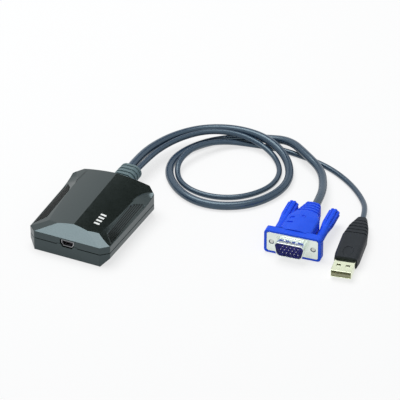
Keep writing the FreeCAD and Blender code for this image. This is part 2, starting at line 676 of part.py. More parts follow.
def tube(points, radius, label):
    # straight runs joined by arcs, each arc as large as its two runs allow
    vectors = [Vector(*point) for point in points]
    edges = []
    bends = []
    start = vectors[0]
    for before, corner, after in zip(vectors, vectors[1:], vectors[2:]):
        inward = (before - corner).normalize()
        outward = (after - corner).normalize()
        turn = math.pi - inward.getAngle(outward)
        reach = bendShare * min(before.distanceToPoint(corner), after.distanceToPoint(corner))
        bend = reach / math.tan(turn / 2)
        bends.append(round(bend, 1))
        enter = corner + inward * reach
        leave = corner + outward * reach
        middleWay = (inward + outward).normalize()
        middle = corner + middleWay * (math.hypot(reach, bend) - bend)
        edges.append(Part.LineSegment(start, enter).toShape())
        edges.append(Part.Arc(enter, middle, leave).toShape())
        start = leave
    edges.append(Part.LineSegment(start, vectors[-1]).toShape())
    path = Part.Wire(edges)
    section = Part.Wire(Part.Circle(vectors[0], vectors[1] - vectors[0], radius).toShape())
    solid = path.makePipeShell([section], True, False)
    print(label, "bend radii", bends, "length", round(path.Length, 1),
          "volume over section times length", round(solid.Volume / (math.pi * radius ** 2 * path.Length), 5))
    made = doc.addObject("Part::Feature", label + "_tube")
    made.Shape = solid
    return made


def wires(name, near, far):
    # the wires of one cord, gathered, from its end inside the boot to its header
    start = f"{rear} - case_wall - boot_flange - tail_length"
    end = f"{rear} - header_setback + header_depth / 2"
    lift = f"{boardTop} + header_tall / 2"
    stops = [(near, start, "boot_height"), (near, f"{start} - wire_lead", "boot_height"),
             (far, f"{end} + wire_lead", lift), (far, end, lift)]
    return tube([tuple(value(text) for text in stop) for stop in stops], value("bundle_radius"), name)


def cableBoot():
    body = newBody("cable_boot")
    flange = crossSketch(body, f"{rear} - case_wall - boot_flange - fit_gap", "boot_height")
    drawLoop(flange, oval("boot_width", "boot_tall"))
    pad(body, flange, "boot_flange", reverse=True)
    neck = crossSketch(body, f"{rear} - case_wall - fit_gap", "boot_height")
    drawLoop(neck, oval("boot_neck_width", "boot_neck_tall"))
    pad(body, neck, "case_wall + fit_gap", reverse=True)
    near = crossSketch(body, rear, "boot_height")
    drawLoop(near, oval("boot_width", "boot_tall"))
    far = crossSketch(body, f"{rear} + boot_length", "boot_height")
    drawLoop(far, oval("boot_end_width", "boot_end_tall"))
    loft(body, [far, near])
    slot = crossSketch(body, f"{rear} + rib_start", "boot_height")
    drawLoop(slot, oval("boot_width + cut_spare", "boot_tall + cut_spare"))
    drawLoop(slot, oval("boot_width - 2 * rib_depth", "boot_tall - 2 * rib_depth"))
    ring = pocket(body, slot, "rib_slot")
    pattern(body, "LinearPattern", ring, (slot, ["N_Axis"]), "rib_pitch * (rib_count - 1)", "rib_count")
    bores = crossSketch(body, f"{rear} - case_wall - boot_flange - fit_gap", "boot_height")
    drawCircle(bores, "-bore_offset_video", "0", "video_cord_diameter / 2")
    drawCircle(bores, "bore_offset_data", "0", "data_cord_diameter / 2")
    pocket(body, bores, "boot_length + case_wall + boot_flange + fit_gap")
    return body


def cordEnd(name, x, diameter):
    start = f"{rear} - case_wall - boot_flange - tail_length"
    return cylinder(name, f"{diameter} / 2 - tail_gap", f"{rear} + boot_length - ({start})", x, start,
                    "boot_height", turn=(across, -90))


def caseScrews():
    solids = []
    for number, (x, y) in enumerate(screwSpots):
        shaft = cylinder(f"case_screw_shaft_{number}", "screw_radius", "screw_reach - screw_head_sink", x, y,
                         "screw_head_sink")
        head = cylinder(f"case_screw_head_{number}", "screw_head_radius", "screw_head_tall", x, y,
                        "screw_head_sink")
        cross = box(f"case_screw_slot_{number}", f"{x} - screw_head_radius * slot_share",
                    f"{x} + screw_head_radius * slot_share", f"{y} - slot_half", f"{y} + slot_half",
                    "screw_head_sink - cut_spare", "screw_head_sink + screw_head_tall / 2")
        solids.append(cut(f"case_screw_{number}", fuse(f"case_screw_blank_{number}", [shaft, head]), cross))
    return group("case_screws_group", solids)


# ---- video plug: x across, y back from the flange's front face, z up from the ground ----

def dOutline(margin):
    # the D-shaped mouth: wide above, its sides leaning in below, all corners round
    wide = f"shell_width / 2 + {margin}"
    tall = f"shell_tall / 2 + {margin}"
    corner = f"(shell_corner + {margin})"
    bend = f"{corner} * {cornerBow}"
    low = f"{wide} - shell_lean"
    points = [(f"{low} - {corner}", minus(tall)),
              (f"{low} + shell_lean * {lowKnee}", f"{corner} - ({tall})", f"{low} - {bend}",
               f"{bend} - ({tall})"),
              (wide, f"{tall} - {corner}"),
              (f"{wide} - {corner}", tall, f"{wide} - {bend}", f"{tall} - {bend}"),
              (minus(f"{wide} - {corner}"), tall),
              (minus(wide), f"{tall} - {corner}", minus(f"{wide} - {bend}"), f"{tall} - {bend}"),
              (minus(f"{low} + shell_lean * {lowKnee}"), f"{corner} - ({tall})"),
              (minus(f"{low} - {corner}"), minus(tall), minus(f"{low} - {bend}"), f"{bend} - ({tall})")]
    return points


def plugSketch(body, setback):
    return crossSketch(body, setback, "plug_centre")


def frontShell():
    body = newBody("vga_front_shell")
    plate = plugSketch(body, "0")
    drawLoop(plate, rounded("flange_width / 2", "-flange_tall / 2", "flange_tall / 2", "flange_corner"))
    pad(body, plate, "flange_thick", reverse=True)
    step = plugSketch(body, "0")
    drawLoop(step, dOutline("step_margin"))
    pad(body, step, "step_thick")
    mouth = plugSketch(body, "0")
    drawLoop(mouth, dOutline("0"))
    pad(body, mouth, "shell_depth")
    hollow = plugSketch(body, "-shell_depth")
    drawLoop(hollow, dOutline("(-shell_wall)"))
    pocket(body, hollow, "shell_depth + flange_thick")
    holes = plugSketch(body, "0")
    for sign in ("", "-"):
        drawCircle(holes, f"{sign}screw_pitch / 2", "0", "flange_hole_radius")
    pocket(body, holes, "flange_thick")
    dimples = flatSketch(body, "plug_centre + shell_tall / 2")
    for number in (-1, 0, 1):
        drawCircle(dimples, f"dimple_pitch * {number}", "-dimple_setback", "dimple_radius")
    pocket(body, dimples, "dimple_depth")
    return body


def insulator():
    body = newBody("vga_insulator")
    block = plugSketch(body, "-insulator_face")
    drawLoop(block, dOutline("(-shell_wall - seat_gap)"))
    pad(body, block, "insulator_face + insulator_back", reverse=True)
    return drillPins(body)


def pinSpots():
    spots = []
    for row, shift in ((1, 0.25), (0, -0.25), (-1, 0.25)):
        for column in range(-2, 3):
            spots.append((f"pin_pitch * {column + shift}", f"pin_row * {row}"))
    return spots


def drillPins(body):
    holes = plugSketch(body, "-insulator_face")
    for x, z in pinSpots():
        drawCircle(holes, x, z, "pin_radius + seat_gap")
    pocket(body, holes, "insulator_face + insulator_back")
    return body


def pins():
    solids = []
    for number, (x, z) in enumerate(pinSpots()):
        height = f"plug_centre + {z}"
        shaft = cylinder(f"pin_shaft_{number}", "pin_radius", "pin_front + pin_back - pin_tip", x,
                         "pin_tip - pin_front", height, turn=(across, -90))
        tip = doc.addObject("Part::Cone", f"pin_tip_{number}")
        tip.setExpression("Radius1", bound("pin_radius / 2"))
        tip.setExpression("Radius2", bound("pin_radius"))
        tip.setExpression("Height", bound("pin_tip"))
        place(tip, x, "-pin_front", height, turn=(across, -90))
        solids.append(fuse(f"pin_{number}", [shaft, tip]))
    return group("pins_group", solids)


def rearShell():
    body = newBody("vga_rear_shell")
    cup = plugSketch(body, "flange_thick")
    drawLoop(cup, rounded("rear_shell_width / 2", "-rear_shell_tall / 2", "rear_shell_tall / 2",
                          "shell_corner"))
    pad(body, cup, "rear_shell_depth", reverse=True)
    hollow = plugSketch(body, "flange_thick")
    drawLoop(hollow, rounded("rear_shell_width / 2 - shell_wall", "shell_wall - rear_shell_tall / 2",
                             "rear_shell_tall / 2 - shell_wall", "(shell_corner - shell_wall)"))
    pocket(body, hollow, "rear_shell_depth - shell_wall")
    return body


def hoodSection(y, shrink="0"):
    # half width, low and high edge, corner and crown of the hood at a distance behind the flange
    if value(y) <= value("hood_mid"):
        bent = value(y) > value("hood_straight")
        share = f"(({y}) - hood_straight) / (hood_mid - hood_straight)" if bent else "0"
        wide = f"hood_half_front + (hood_half_mid - hood_half_front) * {share}"
    else:
        wide = (f"hood_half_mid + (hood_half_rear - hood_half_mid)"
                f" * (({y}) - hood_mid) / (hood_length - hood_mid)")
    share = f"(({y}) / hood_length) ^ 2"
    low = f"hood_low_front + (hood_low_rear - hood_low_front) * {share}"
    high = f"hood_top_front + (hood_top_rear - hood_top_front) * {share}"
    corner = f"(hood_corner_front + (hood_corner_rear - hood_corner_front) * ({y}) / hood_length)"
    crown = f"hood_crown * (1 - {share} * crown_fade)"
    return rounded(f"{wide} - {shrink}", f"{low} + {shrink}", f"{high} - {shrink}", corner, crown)


def hood():
    body = newBody("vga_hood")
    block = crossSketch(body, "0")
    drawLoop(block, rounded("block_width / 2", "0", "block_tall", "block_corner"))
    pad(body, block, "block_depth", reverse=True)
    sections = []
    for y in ("hood_length", "hood_mid", "hood_straight", "block_depth - 1"):
        section = crossSketch(body, y)
        drawLoop(section, hoodSection(y))
        sections.append(section)
    loft(body, sections)
    for number in range(sizes["hood_rib_count"]):
        y = f"hood_rib_start + hood_rib_pitch * {number}"
        ring = crossSketch(body, y)
        drawLoop(ring, rounded("hood_half_front + cut_spare", "-cut_spare", "hood_top_front + cut_spare",
                               "hood_corner_front"))
        drawLoop(ring, hoodSection(y, "hood_rib_depth"))
        pocket(body, ring, "hood_rib_slot")
    dents = flatSketch(body, "hood_top_front + hood_crown")
    drawBox(dents, "-dent_offset - dent_side / 2", "-dent_offset + dent_side / 2",
            "dent_setback - dent_side / 2", "dent_setback + dent_side / 2")
    drawBox(dents, "-dent_offset - slot_width / 2", "-dent_offset + slot_width / 2",
            "slot_setback - slot_length / 2", "slot_setback + slot_length / 2")
    pocket(body, dents, "hood_crown + dent_floor")
    mark = flatSketch(body, "hood_top_front + hood_crown")
    drawBox(mark, "-mark_side / 2", "mark_side / 2", "mark_setback - mark_side / 2",
            "mark_setback + mark_side / 2")
    pocket(body, mark, "hood_crown + mark_floor")
    seat = plugSketch(body, "0")
    drawLoop(seat, rounded("flange_width / 2 + seat_gap", "-flange_tall / 2 - seat_gap",
                           "flange_tall / 2 + seat_gap", "flange_corner"))
    pocket(body, seat, "flange_thick")
    well = plugSketch(body, "flange_thick")
    drawLoop(well, rounded("rear_shell_width / 2 + seat_gap", "-rear_shell_tall / 2 - seat_gap",
                           "rear_shell_tall / 2 + seat_gap", "shell_corner"))
    pocket(body, well, "rear_shell_depth")
    bores = plugSketch(body, "0")
    for sign in ("", "-"):
        drawCircle(bores, f"{sign}screw_pitch / 2", "0", "jack_radius + jack_gap")
    pocket(body, bores, "block_depth")
    return body


def knob(side, x):
    body = newBody(side + "_thumbscrew_knob")
    profile = newSketch(body, "XY_Plane", (x, "0", "plug_centre"))
    start = "block_depth + knob_gap"
    drawLoop(profile, [("0", start), ("knob_front_radius", start), ("knob_front_radius", "knob_taper_start"),
                       ("knob_rear_radius", "knob_taper_end"), ("knob_rear_radius", "knob_end - knob_chamfer"),
                       ("knob_rear_radius - knob_chamfer", "knob_end"), ("knob_front_radius / 2", "knob_end"),
                       ("knob_front_radius / 2", "knob_end - knob_dish"), ("0", "knob_end - knob_dish")])
    feature(body, "Revolution", profile, True, ReferenceAxis=(profile, ["V_Axis"]), Angle=360.0)
    flute = newSketch(body, "XZ_Plane", (x, "plug_centre", "-knob_taper_start - flute_lead"))
    drawCircle(flute, "knob_rear_radius + flute_offset", "0", "flute_radius")
    groove = pocket(body, flute, "knob_end - knob_taper_start")
    pattern(body, "PolarPattern", groove, (profile, ["V_Axis"]), "", "flute_count")
    bore = newSketch(body, "XZ_Plane", (x, "plug_centre", minus(start)))
    drawCircle(bore, "0", "0", "jack_radius + jack_press_gap")
    pocket(body, bore, f"jack_depth - ({start})")
    return body


def jackscrew(side, x):
    shaft = cylinder(side + "_jack_shaft", "jack_radius", "jack_depth - jack_tip - jack_chamfer", x,
                     "jack_tip + jack_chamfer",
                     "plug_centre", turn=(across, -90))
    tip = doc.addObject("Part::Cone", side + "_jack_tip")
    tip.setExpression("Radius1", bound("jack_radius - jack_chamfer"))
    tip.setExpression("Radius2", bound("jack_radius"))
    tip.setExpression("Height", bound("jack_chamfer"))
    place(tip, x, "jack_tip", "plug_centre", turn=(across, -90))
    return fuse(side + "_jack", [shaft, tip])


# ---- data plug: x across, y back from the shell's mouth, z up from the ground ----

def usbShell():
    body = newBody("usb_plug_shell")
    low = "data_centre - usb_tall / 2"
    high = "data_centre + usb_tall / 2"
    outside = crossSketch(body)
    drawBox(outside, "-usb_width / 2", "usb_width / 2", low, high)
    pad(body, outside, "usb_exposed + usb_inset", reverse=True)
    inside = crossSketch(body)
    drawBox(inside, "usb_wall - usb_width / 2", "usb_width / 2 - usb_wall", f"{low} + usb_wall",
            f"{high} - usb_wall")
    pocket(body, inside, "usb_exposed + usb_inset - usb_wall")
    for level, reverse in ((high, False), (low, True)):
        windows = flatSketch(body, level)
        for sign in ("", "-"):
            middle = f"{sign}usb_window_offset"
            drawBox(windows, f"{middle} - usb_window / 2", f"{middle} + usb_window / 2", "usb_window_setback",
                    "usb_window_setback + usb_window")
        pocket(body, windows, "usb_wall", reverse=reverse)
    return body


def usbInsertBottom():
    return "data_centre - usb_tall / 2 + usb_wall + seat_gap"


def usbInsert():
    low = usbInsertBottom()
    wide = "usb_width / 2 - usb_wall - seat_gap"
    blade = box("usb_blade", minus(wide), wide, "usb_insert_setback", "usb_insert_end", low,
                f"{low} + usb_insert_thick")
    block = box("usb_block", minus(wide), wide, "usb_exposed", "usb_insert_end", low,
                "data_centre + usb_tall / 2 - usb_wall - seat_gap")
    return fuse("usb_plug_insert_block", [blade, block])


def usbContacts():
    low = f"{usbInsertBottom()} + usb_insert_thick"
    strips = []
    for number, middle in enumerate(("-usb_outer_contact", "-usb_inner_contact", "usb_inner_contact",
                                     "usb_outer_contact")):
        strips.append(box(f"usb_contact_{number}", f"{middle} - usb_contact_width / 2",
                          f"{middle} + usb_contact_width / 2", "usb_insert_setback + usb_contact_setback",
                          "usb_insert_setback + usb_contact_setback + usb_contact_length", low,
                          f"{low} + usb_contact_thick"))
    return group("usb_contacts_group", strips)


def mouldSection(y, shrink="0"):
    stations = [("usb_exposed", "mould_half_front"), ("mould_wide_start", "mould_half_wide"),
                ("mould_wide_end", "mould_half_wide"), ("mould_mid", "mould_half_mid"),
                ("mould_end", "mould_half_tail")]
    place_ = value(y)
    first, second = next((one, two) for one, two in zip(stations, stations[1:])
                         if place_ <= value(two[0]) + 1e-6)
    share = f"(({y}) - {first[0]}) / ({second[0]} - {first[0]})"
    wide = f"{first[1]} + ({second[1]} - {first[1]}) * {share}"
    thin = "0"
    if place_ > value("mould_wide_end"):
        thin = (f"(mould_tall - mould_tail_tall) / 2"
                f" * ((({y}) - mould_wide_end) / (mould_end - mould_wide_end)) ^ 2")
    return rounded(f"{wide} - {shrink}", f"{thin} + {shrink}", f"mould_tall - {thin} - {shrink}",
                   "mould_corner")


def mould():
    body = newBody("usb_plug_overmould")
    sections = []
    for y in ("mould_end", "mould_mid", "mould_wide_end", "mould_wide_start", "usb_exposed"):
        section = crossSketch(body, y)
        drawLoop(section, mouldSection(y))
        sections.append(section)
    loft(body, sections)
    for number in range(sizes["mould_rib_count"]):
        y = f"mould_rib_start + mould_rib_pitch * {number}"
        ring = crossSketch(body, y)
        drawLoop(ring, rounded("mould_half_wide + cut_spare", "-cut_spare", "mould_tall + cut_spare",
                               "mould_corner"))
        drawLoop(ring, mouldSection(y, "mould_rib_depth"))
        pocket(body, ring, "mould_rib_slot")
    seat = crossSketch(body, "usb_exposed")
    drawBox(seat, "-usb_width / 2 - seat_gap", "usb_width / 2 + seat_gap",
            "data_centre - usb_tall / 2 - seat_gap", "data_centre + usb_tall / 2 + seat_gap")
    pocket(body, seat, "usb_inset + seat_gap")
    emblem = flatSketch(body, "mould_tall")
    flat = "(emblem_length - emblem_width) / 2"
    drawLoop(emblem, [("emblem_width / 2", f"emblem_setback + {flat}"),
                      ("-emblem_width / 2", f"emblem_setback + {flat}", "0",
                       f"emblem_setback + {flat} + emblem_width / 2"),
                      ("-emblem_width / 2", f"emblem_setback - {flat}"),
                      ("emblem_width / 2", f"emblem_setback - {flat}", "0",
                       f"emblem_setback - {flat} - emblem_width / 2")])
    pocket(body, emblem, "emblem_depth")
    return body


node("bottom_cover", bottomCover())
node("top_cover", topCover())
node("main_board", board())
node("mini_usb_shell", socketShell())
node("mini_usb_insert", socketInsert())
insertFront = f"{front} + socket_setback + socket_length - socket_wall - insert_back - insert_tongue_length"
node("mini_usb_contacts", contactRow("mini_usb_contacts", sizes["contact_count"], "contact_pitch",
                                     "contact_width", f"{insertFront} + contact_width",
                                     "insert_tongue_length - contact_width",
                                     f"{boardTop} + socket_tall / 2 + insert_tongue_thick / 2",
                                     "contact_thick"))
smallRow = f"({rear} - header_setback - header_depth / 2 - row_gap - crystal_width / 2)"
chipRow = f"({smallRow} - crystal_width / 2 - chip_gap - lead_length - processor_side / 2)"
memoryRow = "(screw_front_setback - screw_rear_setback) / 2"
node("video_processor_chip", chip("video_processor_chip", "0", chipRow, "processor_side", "processor_side"))
node("usb_controller_chip", chip("usb_controller_chip", "-controller_offset", chipRow, "controller_side",
                                 "controller_side"))
node("memory_chip", chip("memory_chip", "memory_offset", memoryRow, "memory_width", "memory_length", sides="x"))
node("crystal", crystal("-crystal_offset", smallRow))
node("capacitors", group("capacitors_group", [
    cylinder(f"capacitor_{number}", "capacitor_radius", "capacitor_tall",
             f"capacitor_offset + capacitor_pitch * {number - 1}", smallRow, boardTop)
    for number in range(sizes["capacitor_count"])]))
node("video_cable_header", header("video_cable_header", "-video_header_offset", "video_header_width"))
node("data_cable_header", header("data_cable_header", "data_header_offset", "data_header_width"))
node("video_wire_bundle", wires("video_wire_bundle", "-bore_offset_video", "-video_header_offset"))
node("data_wire_bundle", wires("data_wire_bundle", "bore_offset_data", "data_header_offset"))
node("cable_boot", cableBoot())
node("video_cord_inner_end", cordEnd("video_cord_inner_end_solid", "-bore_offset_video", "video_cord_diameter"))
node("data_cord_inner_end", cordEnd("data_cord_inner_end_solid", "bore_offset_data", "data_cord_diameter"))
node("case_screws", caseScrews())
node("video_cord", tube(video_route, value("video_cord_diameter") / 2, "video_cord"))
node("data_cord", tube(data_route, value("data_cord_diameter") / 2, "data_cord"))
node("vga_front_shell", frontShell(), inVideoPlug)
node("vga_insulator", insulator(), inVideoPlug)
node("vga_pins", pins(), inVideoPlug)
node("vga_rear_shell", rearShell(), inVideoPlug)
node("vga_hood", hood(), inVideoPlug)
for side, x in (("left", "-screw_pitch / 2"), ("right", "screw_pitch / 2")):
    node(side + "_thumbscrew_knob", knob(side, x), inVideoPlug)
    node(side + "_jackscrew", jackscrew(side, x), inVideoPlug)
node("usb_plug_shell", usbShell(), inDataPlug)
node("usb_plug_insert", usbInsert(), inDataPlug)
node("usb_plug_contacts", usbContacts(), inDataPlug)
node("usb_plug_overmould", mould(), inDataPlug)

broken = [thing.Name for thing in doc.Objects if "Invalid" in thing.State or "Error" in thing.State]
for name, thing in nodes.items():
    if thing.Shape.isNull() or not thing.Shape.isValid() or thing.Shape.Volume <= 0:
        broken.append(name)
if broken:
    raise RuntimeError(f"failed objects: {broken}")
os.makedirs("parts", exist_ok=True)
for name, thing in nodes.items():
    thing.Shape.exportStep(f"parts/{name}.step")
print(len(nodes), "nodes written")
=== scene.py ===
import math

import bpy
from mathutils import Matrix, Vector


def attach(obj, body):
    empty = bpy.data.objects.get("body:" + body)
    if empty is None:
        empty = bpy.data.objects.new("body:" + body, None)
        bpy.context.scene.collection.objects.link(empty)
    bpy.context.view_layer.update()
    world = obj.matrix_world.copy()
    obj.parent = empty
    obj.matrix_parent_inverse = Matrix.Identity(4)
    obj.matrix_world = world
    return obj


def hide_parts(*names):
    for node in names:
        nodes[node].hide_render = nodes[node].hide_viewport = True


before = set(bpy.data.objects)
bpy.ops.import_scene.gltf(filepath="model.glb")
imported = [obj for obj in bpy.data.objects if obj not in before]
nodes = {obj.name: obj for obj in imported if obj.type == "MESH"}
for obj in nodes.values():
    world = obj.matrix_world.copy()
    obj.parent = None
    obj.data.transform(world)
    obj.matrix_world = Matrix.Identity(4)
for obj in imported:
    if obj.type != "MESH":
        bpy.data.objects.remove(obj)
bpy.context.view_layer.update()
mm = 0.001
print("stage: frame loaded with", len(nodes), "nodes")

# camera, lamps and floor

studio = {
    "cameraPlace": (0.7592, -1.4727, 1.1369), "cameraTarget": (0.0437, 0.0534, 0.0), "lens": 312.1,
    "nearest": 0.01, "farthest": 50,
    "worldStrength": 0.3, "worldColor": (0.93, 0.97, 1.0),
    "keyPlace": (-0.3, 0.2, 1.26), "keySize": 1.02, "keyPower": 14.5,
    "fillPlace": (0.9, -0.9, 0.7), "fillSize": 0.6, "fillPower": 0.8,
    "cardPlace": (-0.09, 0.53, 0.59), "cardSize": (0.42, 0.28), "cardShade": (0.004, 0.004, 0.004),
    "floorSize": 8.0, "floorShade": (0.95, 0.95, 0.95), "floorGlow": 0.7,
}


def pointAt(item, place, target):
    item.location = place
    item.rotation_euler = (Vector(target) - Vector(place)).to_track_quat("-Z", "Y").to_euler()


def addSoftbox(name, place, size, power):
    lamp = bpy.data.lights.new(name, "AREA")
    lamp.shape = "SQUARE"
    lamp.size = size
    lamp.energy = power
    box = bpy.data.objects.new(name, lamp)
    bpy.context.scene.collection.objects.link(box)
    pointAt(box, place, studio["cameraTarget"])


def addCard(name, place, size):
    # a black card that keeps the white surroundings out of the roof's far half
    bpy.ops.object.select_all(action="DESELECT")
    bpy.ops.mesh.primitive_plane_add(size=1)
    card = bpy.context.object
    card.name = name
    card.scale = (*size, 1)
    pointAt(card, place, (0, 0, 0))
    card.visible_camera = False
    card.visible_shadow = False
    card.visible_diffuse = False
    material = bpy.data.materials.new(name)
    material.use_nodes = True
    shader = material.node_tree.nodes["Principled BSDF"]
    shader.inputs["Base Color"].default_value = (*studio["cardShade"], 1)
    shader.inputs["Specular IOR Level"].default_value = 0
    card.data.materials.append(material)


def seenRay(tree):
    # 1 for rays that show the background, straight, in gloss or through glass
    path = tree.nodes.new("ShaderNodeLightPath")
    total = path.outputs["Is Camera Ray"]
    for ray in ("Is Glossy Ray", "Is Transmission Ray"):
        larger = tree.nodes.new("ShaderNodeMath")
        larger.operation = "MAXIMUM"
        tree.links.new(total, larger.inputs[0])
        tree.links.new(path.outputs[ray], larger.inputs[1])
        total = larger.outputs[0]
    return total


def addCamera():
    camera = bpy.data.objects.new("camera", bpy.data.cameras.new("camera"))
    bpy.context.scene.collection.objects.link(camera)
    camera.data.lens = studio["lens"]
    camera.data.clip_start, camera.data.clip_end = studio["nearest"], studio["farthest"]
    pointAt(camera, studio["cameraPlace"], studio["cameraTarget"])
    bpy.context.scene.camera = camera
    bpy.context.scene.view_settings.view_transform = "Standard"


def addWorld():
    # dim light on the object, white where it is seen
    world = bpy.data.worlds.new("studioWorld")
    bpy.context.scene.world = world
    world.use_nodes = True
    tree = world.node_tree
    dim = tree.nodes["Background"]
    dim.inputs["Color"].default_value = (*studio["worldColor"], 1)
    dim.inputs["Strength"].default_value = studio["worldStrength"]
    white = tree.nodes.new("ShaderNodeBackground")
    mix = tree.nodes.new("ShaderNodeMixShader")
    tree.links.new(seenRay(tree), mix.inputs[0])
    tree.links.new(dim.outputs[0], mix.inputs[1])
    tree.links.new(white.outputs[0], mix.inputs[2])
    white.inputs["Color"].default_value = (1, 1, 1, 1)
    tree.links.new(mix.outputs[0], tree.nodes["World Output"].inputs["Surface"])


def addFloor():
    # white paper that glows a little for the same rays, so that only contact shadows stay
    bpy.ops.object.select_all(action="DESELECT")
    bpy.ops.mesh.primitive_plane_add(size=studio["floorSize"], location=(0, 0, 0))
    floor = bpy.context.object
    floor.name = "floor"
    material = bpy.data.materials.new("paperFloor")
    material.use_nodes = True
    tree = material.node_tree
    tree.nodes.remove(tree.nodes["Principled BSDF"])
    paper = tree.nodes.new("ShaderNodeBsdfDiffuse")
    paper.inputs["Color"].default_value = (*studio["floorShade"], 1)
    glow = tree.nodes.new("ShaderNodeEmission")
    share = tree.nodes.new("ShaderNodeMath")
    share.operation = "MULTIPLY"
    share.inputs[1].default_value = studio["floorGlow"]
    mix = tree.nodes.new("ShaderNodeMixShader")
    tree.links.new(seenRay(tree), share.inputs[0])
    tree.links.new(share.outputs[0], mix.inputs[0])
    tree.links.new(paper.outputs[0], mix.inputs[1])
    tree.links.new(glow.outputs[0], mix.inputs[2])
    tree.links.new(mix.outputs[0], tree.nodes["Material Output"].inputs["Surface"])
    floor.data.materials.append(material)


addCamera()
addSoftbox("keySoftbox", studio["keyPlace"], studio["keySize"], studio["keyPower"])
addSoftbox("fillSoftbox", studio["fillPlace"], studio["fillSize"], studio["fillPower"])
addCard("blackCard", studio["cardPlace"], studio["cardSize"])
addWorld()
addFloor()
print("stage: camera, lamps and floor")

# finishes: a base colour that wanders between dark and pale, a roughness that wanders, and a fine grain

# the casePlastic and cordJacket tints are a painted bluish reflection colour: they stand in for a bluish
# lamp, not the plastic's own colour
looks = {
    "casePlastic": {"dark": (0.009, 0.0125, 0.0105), "pale": (0.014, 0.019, 0.0165),
                    "patch": 90, "rough": (0.13, 0.2), "grain": 2600, "bump": 0.03, "specular": 0.78,
                    "tint": (0.72, 0.93, 1.0)},
    "gripPlastic": {"dark": (0.004, 0.005, 0.005), "pale": (0.008, 0.010, 0.010),
                    "patch": 300, "rough": (0.24, 0.34), "grain": 3600, "bump": 0.05, "specular": 0.3},
    "bootRubber": {"dark": (0.095, 0.15, 0.165), "pale": (0.14, 0.205, 0.22),
                   "patch": 220, "rough": (0.45, 0.6), "grain": 3000, "bump": 0.12, "specular": 0.4},
    "cordJacket": {"dark": (0.015, 0.034, 0.066), "pale": (0.026, 0.051, 0.092),
                   "patch": 260, "rough": (0.2, 0.3), "grain": 3400, "bump": 0.06, "specular": 0.85,
                   "tint": (0.72, 0.92, 1.0)},
    "plugBlue": {"dark": (0.012, 0.08, 0.78), "pale": (0.02, 0.115, 0.93),
                 "patch": 160, "rough": (0.4, 0.52), "grain": 2800, "bump": 0.08, "specular": 0.15},
    "nickel": {"dark": (0.66, 0.72, 0.66), "pale": (0.84, 0.91, 0.86),
               "patch": 240, "rough": (0.14, 0.24), "grain": 1500, "bump": 0.04, "metal": 1},
    "warmNickel": {"dark": (0.78, 0.84, 0.62), "pale": (0.9, 0.96, 0.74),
                   "patch": 240, "rough": (0.06, 0.13), "grain": 1500, "bump": 0.02, "metal": 1},
    "navyInsert": {"dark": (0.012, 0.010, 0.20), "pale": (0.022, 0.018, 0.32),
                   "patch": 500, "rough": (0.4, 0.55), "grain": 3000, "bump": 0.05, "specular": 0.5},
    "contactGold": {"dark": (0.78, 0.72, 0.56), "pale": (0.9, 0.86, 0.74),
                    "patch": 900, "rough": (0.22, 0.34), "grain": 2400, "bump": 0.03, "metal": 1},
    "pinSilver": {"dark": (0.72, 0.72, 0.82), "pale": (0.86, 0.86, 0.94),
                  "patch": 900, "rough": (0.22, 0.34), "grain": 2400, "bump": 0.03, "metal": 1},
    "screwSteel": {"dark": (0.5, 0.52, 0.5), "pale": (0.7, 0.71, 0.68),
                   "patch": 700, "rough": (0.25, 0.42), "grain": 2200, "bump": 0.08, "metal": 1},
    "charcoalMould": {"dark": (0.013, 0.017, 0.021), "pale": (0.021, 0.026, 0.032),
                      "patch": 200, "rough": (0.42, 0.56), "grain": 3000, "bump": 0.1, "specular": 0.15},
    "creamInsert": {"dark": (0.34, 0.34, 0.2), "pale": (0.46, 0.46, 0.3),
                    "patch": 400, "rough": (0.5, 0.62), "grain": 2600, "bump": 0.05, "specular": 0.4},
    "socketSteel": {"dark": (0.42, 0.42, 0.44), "pale": (0.6, 0.6, 0.62),
                    "patch": 500, "rough": (0.25, 0.4), "grain": 2000, "bump": 0.04, "metal": 1},
    "blackInsert": {"dark": (0.03, 0.026, 0.034), "pale": (0.05, 0.044, 0.056),
                    "patch": 400, "rough": (0.4, 0.55), "grain": 2600, "bump": 0.05, "specular": 0.4},
    "boardLacquer": {"dark": (0.008, 0.10, 0.035), "pale": (0.015, 0.16, 0.06),
                     "patch": 300, "rough": (0.25, 0.4), "grain": 1800, "bump": 0.05, "specular": 0.5},
    "chipResin": {"dark": (0.012, 0.012, 0.013), "pale": (0.024, 0.024, 0.025),
                  "patch": 600, "rough": (0.5, 0.68), "grain": 3800, "bump": 0.12, "specular": 0.3},
    "canMetal": {"dark": (0.62, 0.63, 0.64), "pale": (0.78, 0.79, 0.8),
                 "patch": 500, "rough": (0.2, 0.34), "grain": 2000, "bump": 0.03, "metal": 1},
    "headerNylon": {"dark": (0.66, 0.63, 0.52), "pale": (0.8, 0.77, 0.67),
                    "patch": 400, "rough": (0.42, 0.56), "grain": 2200, "bump": 0.05, "specular": 0.4},
    "markInk": {"dark": (0.80, 0.83, 0.81), "pale": (0.92, 0.94, 0.92),
                "patch": 900, "rough": (0.45, 0.6), "grain": 3200, "bump": 0.05, "specular": 0.4},
}
noiseDetail = {"patch": 4, "wander": 5, "grain": 3}
wanderScale = 3  # the roughness wanders this many times as finely as the colour
grainDepth = 0.2 * mm


def addNoise(tree, scale, detail):
    place = tree.nodes.new("ShaderNodeTexCoord")
    noise = tree.nodes.new("ShaderNodeTexNoise")
    noise.inputs["Scale"].default_value = scale
    noise.inputs["Detail"].default_value = detail
    tree.links.new(place.outputs["Object"], noise.inputs["Vector"])
    return noise.outputs["Fac"]


